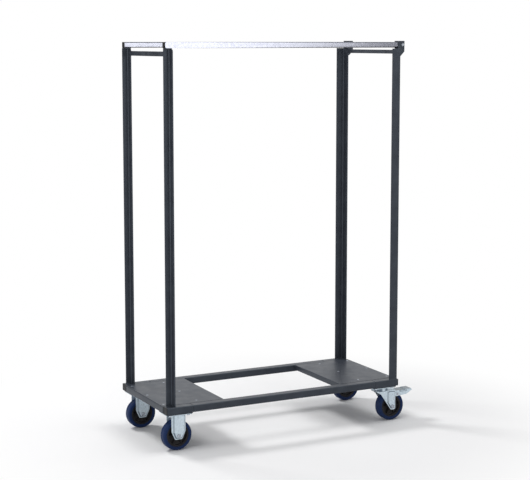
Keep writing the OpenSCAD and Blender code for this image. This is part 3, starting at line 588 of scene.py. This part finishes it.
for side in ("front", "rear"):
    name = "top_bar_" + side
    low, high = cad_mm(name)
    shape = from_cad(name)
    round_edges(shape, lambda p, way: abs(way.x) > 0.99 and min(abs(p.y - low.y), abs(p.y - high.y)) < 0.1
                and min(abs(p.z - low.z), abs(p.z - high.z)) < 0.1, 5.5)
    finish_piece(name, shape, galvanised, "bar_" + side, [name])

    # Bar caps: black polyethylene plugs in both ends of the tube.
    shape = bmesh.new()
    cap_low, cap_high = cad_mm("bar_caps_" + side)
    corners = box_corners(low, high, "yz")
    stem = box_corners(low + Vector((0, 2.3, 2.3)), high - Vector((0, 2.3, 2.3)), "yz")
    for out, into, s in ((cap_low.x, low.x, 1), (cap_high.x, high.x, -1)):
        sweep(shape, corners, 5.5, "x", ends(out, into, 1.0))
        sweep(shape, stem, 1.5, "x", [(into, 0.0), (into + 4 * s, 0.0)])
    finish_piece("bar_caps_" + side, shape, black_plastic, "bar_" + side,
                 ["bar_caps_" + side])

# Castor bolts: sixteen M10 hexagon bolts with washers, screwed up through the castor plates. The
# outer washers are centred 9 mm inside the box round all the bolts.
WASHERS_IN = 9.0
HOLES_X, HOLES_Y = 105.0, 80.0
low, high = cad_mm("castor_bolts")
shape = from_cad("castor_bolts")
plate_under = cad_mm("castor_plate_front")[0].z
columns, rows = [(low[i] + WASHERS_IN, high[i] - WASHERS_IN) for i in (0, 1)]
for x0, y0 in ((x, y) for x in columns for y in rows):
    for dx, dy in ((dx, dy) for dx in (0, HOLES_X) for dy in (0, HOLES_Y)):
        x = x0 + (dx if x0 < 0 else -dx)
        y = y0 + (dy if y0 < 0 else -dy)
        washer = [(5.2, plate_under), (10, plate_under), (10, plate_under - 1.8), (5.2, plate_under - 1.8)]
        turned(shape, washer, 0.4, (x, y, 0), "z", 32, 2)
finish_piece("castor_bolts", shape, zinc_fasteners, "frame", ["castor_bolts"], 0.6)

# Fixed castors: the fork is pressed from 3 mm steel sheet with its plate, zinc plated. A flat panel
# is pressed out of each cheek by 3 mm, and the cheeks narrow to the axle bolt.
# The third colour, #5c6a78, is painted shade on the sloped sides of the pressed panels and on other faces
# turned off the cart's axes.
PRESSED_ZINC = ("#d6e4ed", "#c1d0da", "#5c6a78", 0.34)
zinc_castor = zinc_plating("bright_zinc_on_pressed_steel", *PRESSED_ZINC)
FORK_HALF, SHEET = 30.0, 3.0
PLATE_X, PLATE_Y, PLATE_T = 140.0, 110.0, 4.0


def castor_plate(shape, x, y, top):
    """The mounting plate with its round corners."""
    corners = [(x - PLATE_X / 2, y - PLATE_Y / 2), (x + PLATE_X / 2, y - PLATE_Y / 2),
               (x + PLATE_X / 2, y + PLATE_Y / 2), (x - PLATE_X / 2, y + PLATE_Y / 2)]
    sweep(shape, corners, 9.0, "z", ends(top - PLATE_T, top, 0.6))


def pressed_panel(shape, foot, top, radii, face, out, height):
    """A panel pressed out of a cheek: the outline at its foot drawn in to the one on its top."""
    rings = []
    for share in (None, 0.0, 0.2, 0.5, 0.8, 1.0):
        rise = -0.3 if share is None else height * share * share * (3 - 2 * share)
        corners = [Vector(a).lerp(Vector(b), share or 0.0) for a, b in zip(foot, top)]
        rings.append([shape.verts.new(Vector((u, face + rise * out, v)) * MM)
                      for u, v in outline(corners, radii)])
    for a, b in zip(rings, rings[1:]):
        for i in range(len(a)):
            shape.faces.new((a[i - 1], a[i], b[i], b[i - 1]))
    shape.faces.new(rings[0])
    shape.faces.new(rings[-1])


PANEL = 3.0
for side in ("front", "rear"):
    tag = side + "_left"
    low, high = cad_mm("axle_" + tag)
    x, y, z = (low + high) / 2
    _, fork_high = cad_mm("fork_" + tag)
    under = fork_high.z - PLATE_T
    shape = bmesh.new()
    castor_plate(shape, x, y, fork_high.z)
    cheek = [(x - 39.5, under + 1), (x - 39.5, z + 23), (x - 20, z - 20), (x + 20, z - 20),
             (x + 39.5, z + 23), (x + 39.5, under + 1)]
    foot = [(x - 35, under - 3), (x - 35, z + 21), (x - 19, z - 15), (x + 17, z - 15), (x + 35, z + 21),
            (x + 35, under - 3)]
    top = [(x - 20, under - 6), (x - 20, z + 17), (x - 10, z - 10), (x + 14, z - 11), (x + 32, z + 20),
           (x + 32, under - 6)]
    for out in (-1, 1):
        near, face = y + FORK_HALF * out, y + (FORK_HALF + SHEET) * out
        sweep(shape, cheek, [0.5, 14, 9, 9, 14, 0.5], "y", ends(near, face, 0.7))
        pressed_panel(shape, foot, top, [4, 12, 8, 8, 12, 4], face, out, PANEL)
    finish_piece("fork_" + tag, shape, zinc_castor, "frame", ["fork_" + tag])

# Axles: 12 mm steel bolts with a low round head, a round nut at the back and a centre hole in each
# end, zinc plated. A sleeve between the cheeks carries the bearings.
for side in ("front", "rear"):
    for end in ("left", "right"):
        name = "axle_" + side + "_" + end
        low, high = cad_mm(name)
        x, y, z = (low + high) / 2
        outer = y + FORK_HALF + SHEET + PANEL
        shape = bmesh.new()
        for face, tip, out in ((2 * y - outer, low.y, -1), (outer, high.y, 1)):
            head = [(0.0, face - 2 * out), (10.4, face), (10.4, tip - 1.2 * out), (8.6, tip), (3.5, tip),
                    (3.5, tip - 4.6 * out), (0.0, tip - 4.9 * out)]
            turned(shape, head, [0, 0.3, 1.6, 1.2, 0.6, 0.2, 0], (x, 0, z), "y", 48, 3)
        sleeve = [(0.0, -FORK_HALF), (8.0, -FORK_HALF), (8.0, FORK_HALF), (0.0, FORK_HALF)]
        turned(shape, sleeve, [0, 0.4, 0.4, 0], (x, y, z), "y", 32, 2)
        finish_piece(name, shape, zinc_fasteners, "frame" if end == "left" else "swivel_" + side,
                     [name])

# Wheels: a hub of moulded black polyamide, with a rim, a dished web with six ribs and a boss for
# the bearings. The tyre of blue elastic rubber is vulcanised to it, and has a flat tread with the
# fine line of the mould, eased shoulders and a step in the side wall.
polyamide = moulded("moulded_black_polyamide", "#19171a", "#232022", 0.42, 1.2)

# Blue elastic rubber: deep navy with a soft bloom in patches of 9 mm and the fine grain of the mould.
rubber, shader = start_material("blue_elastic_rubber", {
    "Base Color": colour("#182c52"), "Roughness": 0.55, "IOR": 1.5,
    "Specular IOR Level": 0.14})
place = add(rubber, "ShaderNodeTexCoord").outputs["Object"]
bloom = add(rubber, "ShaderNodeTexNoise", {"Scale": 1 / (9 * MM), "Detail": 5.0, "Roughness": 0.6},
            {"Vector": place})
tone = add(rubber, "ShaderNodeValToRGB", None, {"Fac": bloom.outputs[0]},
           [(0.35, colour("#14264b")), (0.75, colour("#1c3058"))])
matt = add(rubber, "ShaderNodeMapRange", {"From Min": 0.3, "From Max": 0.7, "To Min": 0.42, "To Max": 0.58},
           {"Value": bloom.outputs[0]})
pores = add(rubber, "ShaderNodeTexNoise", {"Scale": 1 / (0.9 * MM), "Detail": 2.0}, {"Vector": place})
bump = add(rubber, "ShaderNodeBump", {"Strength": 0.25, "Distance": 0.15 * MM},
           {"Height": pores.outputs[0]})
join(rubber, tone.outputs[0], shader, "Base Color")
join(rubber, matt.outputs[0], shader, "Roughness")
join(rubber, bump.outputs[0], shader, "Normal")

# Ground bearing steel: clean and bright, with faint grinding marks, drawn 1 mm wide so that they show.
bearing_steel, shader = start_material("ground_bearing_steel", {
    "Base Color": colour("#a4a8ad"), "Metallic": 1.0, "Roughness": 0.25})
place = add(bearing_steel, "ShaderNodeTexCoord").outputs["Object"]
lines = add(bearing_steel, "ShaderNodeTexNoise", {"Scale": 1 / (1.0 * MM), "Detail": 2.0},
            {"Vector": place})
tone = add(bearing_steel, "ShaderNodeValToRGB", None, {"Fac": lines.outputs[0]},
           [(0.3, colour("#94989d")), (0.7, colour("#adb1b6"))])
join(bearing_steel, tone.outputs[0], shader, "Base Color")

WHEEL_R, TYRE_HALF, RIM_R = 80.0, 25.0, 61.0
RIBS = 6
for side in ("front", "rear"):
    for end in ("left", "right"):
        tag = side + "_" + end
        low, high = cad_mm("axle_" + tag)
        x, y, z = (low + high) / 2
        centre = (x, y, z)
        body = "wheel_" + tag

        shape = bmesh.new()
        half = [(RIM_R - 10, 21), (RIM_R - 10, 8), (22, 6), (22, 29), (16, 29), (16, 19), (9.1, 19)]
        profile = [(RIM_R, -21), (RIM_R, 21)] + half + [(r, -v) for r, v in reversed(half)]
        eased = [1.5, 5, 5, 1.5, 0.5, 0.3, 0.5]
        turned(shape, profile, [1, 1] + eased + eased[::-1], centre, "y", 96)
        for k in range(RIBS):
            a = 2 * math.pi * (k + 0.5) / RIBS
            for out in (-1, 1):
                section = [(-2.0, 5 * out), (2.0, 5 * out), (1.6, 17 * out), (-1.6, 17 * out)]
                before = len(shape.verts)
                sweep(shape, section, [0, 0, 0.8, 0.8], "z", [(20.5, 0.0), (RIM_R - 8.5, 0.0)], 2)
                shape.verts.ensure_lookup_table()
                turn = Matrix.Rotation(a, 3, "Y")
                for v in shape.verts[before:]:
                    v.co = turn @ v.co + Vector(centre) * MM
        finish_piece("hub_" + tag, shape, polyamide, body, ["hub_" + tag])

        shape = bmesh.new()
        half = [(WHEEL_R - 0.05, 0.4), (WHEEL_R - 0.5, 0.9), (WHEEL_R - 0.3, 17),
                (WHEEL_R - 4.5, TYRE_HALF), (RIM_R + 6, TYRE_HALF), (RIM_R + 5, TYRE_HALF - 1.2),
                (RIM_R + 0.1, TYRE_HALF - 1.2)]
        profile = half + [(r, -v) for r, v in reversed(half)]
        soft = [0, 0, 9, 3, 0.6, 0.4, 0.8]
        turned(shape, profile, soft + soft[::-1], centre, "y", 128)
        finish_piece("tyre_" + tag, shape, rubber, body, ["tyre_" + tag])
        finish_piece("bearings_" + tag, from_cad("bearings_" + tag), bearing_steel, body,
                     ["bearings_" + tag], 0.3)

# Zinc on the brake pedals: the same plating, darkened to a dull grey where it faces up as painted shade.
pedal_zinc = zinc_plating("zinc_on_pedals_with_painted_top_shade", *PRESSED_ZINC)
shader = pedal_zinc.node_tree.nodes["Principled BSDF"]
bright = shader.inputs["Base Color"].links[0].from_socket
faces = add(pedal_zinc, "ShaderNodeTexCoord").outputs["Normal"]
upward = add(pedal_zinc, "ShaderNodeSeparateXYZ", None, {0: faces})
scuffs_and_top_shade = add(pedal_zinc, "ShaderNodeMapRange", {"From Min": 0.4, "From Max": 0.95, "To Max": 0.85},
             {"Value": upward.outputs[2]})
# Painted shade: the faces that point up are mixed toward dull grey, #525b61.
top_shade = add(pedal_zinc, "ShaderNodeMix", {"data_type": "RGBA", 7: colour("#525b61")},
             {0: scuffs_and_top_shade.outputs[0], 6: bright})
join(pedal_zinc, top_shade.outputs[2], shader, "Base Color")

# Swivel castors: a plate with a riveted king pin carries the fork on a ball race. The fork is pressed
# from 3 mm sheet, with a round crown under the race, and is raked back to the axle.
for side in ("front", "rear"):
    plate_low, plate_high = cad_mm("castor_plate_" + side)
    x, y, _ = (plate_low + plate_high) / 2
    shape = bmesh.new()
    castor_plate(shape, x, y, plate_high.z)
    name = "castor_plate_" + side
    finish_piece(name, shape, zinc_castor, "frame", [name])
    name = "ball_race_" + side
    finish_piece(name, from_cad(name), bearing_steel, "frame", [name])
    name = "king_pin_" + side
    finish_piece(name, from_cad(name), zinc_fasteners, "frame", [name], 0.6)

    tag = side + "_right"
    axle_low, axle_high = cad_mm("axle_" + tag)
    ax, _, az = (axle_low + axle_high) / 2
    _, fork_high = cad_mm("fork_" + tag)
    front, back, crown_low = x - 38, ax + 20, 170.0
    shape = bmesh.new()
    crown = [(y - 33, crown_low), (y + 33, crown_low), (y + 33, crown_low + 4), (y - 33, crown_low + 4)]
    sweep(shape, crown, [0.4, 0.4, 3.6, 3.6], "x", ends(front, back, 0.8))
    turned(shape, [(8.2, 170), (43, 170), (43, fork_high.z), (39.5, fork_high.z), (39.5, 174), (8.2, 174)],
           [0.4, 4, 1.2, 0.8, 2, 0.4], (x, y, 0), "z", 72)
    pivot_x, pivot_z = x + 96, 145.0
    for out in (-1, 1):
        near, face = y + FORK_HALF * out, y + (FORK_HALF + SHEET) * out
        cheek = [(front, 173), (back, 173), (back, az - 13), (back - 6, az - 19), (ax - 8, az - 19),
                 (ax - 14, az - 13), (x - 12, 154), (front, 168)]
        sweep(shape, cheek, [1, 1, 5, 5, 5, 5, 40, 2], "y", ends(near, face, 0.7))
        foot = [(ax - 36, 166), (back - 4, 166), (back - 4, az - 12), (ax - 9, az - 12), (ax - 36, az + 30)]
        top = [(ax - 20, 162), (back - 7, 162), (back - 7, az - 9), (ax - 4, az - 9), (ax - 20, az + 14)]
        pressed_panel(shape, foot, top, [4, 4, 4, 4, 8], face, out, PANEL)
        ear = [(back - 2, pivot_z - 11), (pivot_x, pivot_z - 11), (pivot_x + 11, pivot_z - 11),
               (pivot_x + 11, pivot_z + 11), (back - 2, pivot_z + 11)]
        sweep(shape, ear, [0.3, 0.3, 10.8, 10.8, 0.3], "y", ends(near, face, 0.6), 8)
    finish_piece("fork_" + tag, shape, zinc_castor, "swivel_" + side, ["fork_" + tag])

    # Brake: a pedal folded from 2 mm sheet straddles the tyre on two rivets, with a raised tread at
    # its tip and a rubber-like plastic shoe under it that presses on the tyre.
    low, high = cad_mm("pedal_" + side)
    top = high.z - 2.5
    shape = from_cad("pedal_" + side)
    round_edges(shape, lambda p, way: abs(way.x) > 0.99 and abs(p.z - top) < 0.1
                and min(abs(p.y - low.y), abs(p.y - high.y)) < 0.1, 1.8)
    for face, out in ((low.y, -1), (high.y, 1)):
        lip_foot = [(x + 112, top - 9), (x + 160, top - 9), (x + 160, top - 0.4), (x + 112, top - 0.4)]
        lip_top = [(x + 114, top - 6), (x + 158, top - 6), (x + 158, top - 2), (x + 114, top - 2)]
        pressed_panel(shape, lip_foot, lip_top, [2, 2, 2, 2], face, out, 1.6)
    name = "pedal_" + side
    finish_piece(name, shape, pedal_zinc, "brake_" + side, [name], 0.5)
    name = "pedal_rivets_" + side
    finish_piece(name, from_cad(name), zinc_fasteners, "swivel_" + side, [name], 1.2)
    name = "brake_shoe_" + side
    finish_piece(name, from_cad(name), black_plastic, "brake_" + side, [name], 0.8)

# Studio: a matt white floor that runs into a white backdrop, and four soft lamps: a low one at the
# left front, a stronger one high at the back left, one above, and one in front that gives only the
# bright stretch on the bars.
floor_paint, shader = start_material("matt_white_floor", {
    "Base Color": colour("#f6f6f6"), "Roughness": 0.9})
place = add(floor_paint, "ShaderNodeTexCoord").outputs["Object"]
reach = add(floor_paint, "ShaderNodeVectorMath", {"operation": "LENGTH"}, {0: place})
fade = add(floor_paint, "ShaderNodeMapRange",
           {"From Min": 0.9, "From Max": 1.9, "interpolation_type": "SMOOTHSTEP"},
           {"Value": reach.outputs["Value"]})
glow = add(floor_paint, "ShaderNodeEmission", {"Color": (1.0, 1.0, 1.0, 1.0), "Strength": 1.0})
blend = add(floor_paint, "ShaderNodeMixShader", None,
            {0: fade.outputs[0], 1: shader.outputs[0], 2: glow.outputs[0]})
surface = floor_paint.node_tree.nodes["Material Output"].inputs["Surface"]
floor_paint.node_tree.links.new(blend.outputs[0], surface)
shape = bmesh.new()
bmesh.ops.create_grid(shape, x_segments=2, y_segments=2, size=30.0)
mesh = bpy.data.meshes.new("studio_floor")
shape.to_mesh(mesh)
shape.free()
mesh.materials.append(floor_paint)
floor = bpy.data.objects.new("studio_floor", mesh)
floor.location = (0, 0, -0.5 * MM)
bpy.context.scene.collection.objects.link(floor)

backdrop = bpy.data.worlds.new("white_backdrop")
bpy.context.scene.world = backdrop
backdrop.use_nodes = True
sky = backdrop.node_tree.nodes["Background"]
sky.inputs["Color"].default_value = (0.80, 0.80, 0.82, 1.0)
sky.inputs["Strength"].default_value = 0.5
white = add(backdrop, "ShaderNodeBackground", {"Color": (1.0, 1.0, 1.0, 1.0), "Strength": 1.0})
path = add(backdrop, "ShaderNodeLightPath")
mirrored = add(backdrop, "ShaderNodeMath", {"operation": "MAXIMUM"},
               {0: path.outputs["Is Glossy Ray"], 1: path.outputs["Is Transmission Ray"]})
seen = add(backdrop, "ShaderNodeMath", {"operation": "MAXIMUM"},
           {0: path.outputs["Is Camera Ray"], 1: mirrored.outputs[0]})
pick = add(backdrop, "ShaderNodeMixShader", None,
           {0: seen.outputs[0], 1: sky.outputs[0], 2: white.outputs[0]})
surface = backdrop.node_tree.nodes["World Output"].inputs["Surface"]
backdrop.node_tree.links.new(pick.outputs[0], surface)

for name, spot, aim, size, power in (
        ("left_front_lamp", (-4.4, -2.3, 1.6), (0, 0, 0.9), 2.6, 55),
        ("front_lamp", (1.45, -5.0, 2.4), (0, 0, 0.9), 2.8, 60),
        ("left_back_lamp", (-2.0, 3.0, 4.4), (0, 0, 0.6), 1.6, 135),
        ("top_lamp", (1.4, -0.9, 5.0), (0, 0, 0.5), 3.0, 75)):
    lamp_data = bpy.data.lights.new(name, "AREA")
    lamp_data.shape = "DISK"
    lamp_data.size = size
    lamp_data.energy = power
    lamp = bpy.data.objects.new(name, lamp_data)
    lamp.location = spot
    lamp.rotation_euler = (Vector(aim) - Vector(spot)).to_track_quat("-Z", "Y").to_euler()
    lamp.visible_diffuse = name != "front_lamp"
    bpy.context.scene.collection.objects.link(lamp)

# Two dark cards stand behind the camera and at the back left. They are seen only in the paint and
# the zinc: the first darkens the posts and the right half of the bars, the second the left ends.
card_felt, shader = start_material("card_felt", {"Base Color": colour("#2a2a2c"), "Roughness": 0.9})
for name, x0, x1, y, z0, z1 in (
        ("front_card", -6.0, 9.0, -8.6, 0.0, 3.4),
        ("back_left_card", -6.0, -1.3, 4.0, 0.5, 4.5)):
    card_mesh = bpy.data.meshes.new(name)
    card_mesh.from_pydata([(x0, y, z0), (x1, y, z0), (x1, y, z1), (x0, y, z1)], [], [(0, 1, 2, 3)])
    card_mesh.materials.append(card_felt)
    card = bpy.data.objects.new(name, card_mesh)
    bpy.context.scene.collection.objects.link(card)
    card.visible_camera = False
    card.visible_diffuse = False
    card.visible_shadow = False

# Camera: a long lens from the left front, level with the top of the cart and turned a little down.
turn, dip = math.radians(-27.25), math.radians(6.87)
eye_data = bpy.data.cameras.new("camera")
eye_data.lens = 95.95
eye_data.sensor_width = 36
eye_data.shift_y = -0.055
eye_data.clip_end = 100
eye = bpy.data.objects.new("camera", eye_data)
eye.location = (-3.515, -6.762, 2.096)
ahead = Vector((-math.sin(turn) * math.cos(dip), math.cos(turn) * math.cos(dip), -math.sin(dip)))
eye.rotation_euler = ahead.to_track_quat("-Z", "Y").to_euler()
bpy.context.scene.collection.objects.link(eye)
bpy.context.scene.camera = eye
bpy.context.scene.view_settings.view_transform = "Standard"
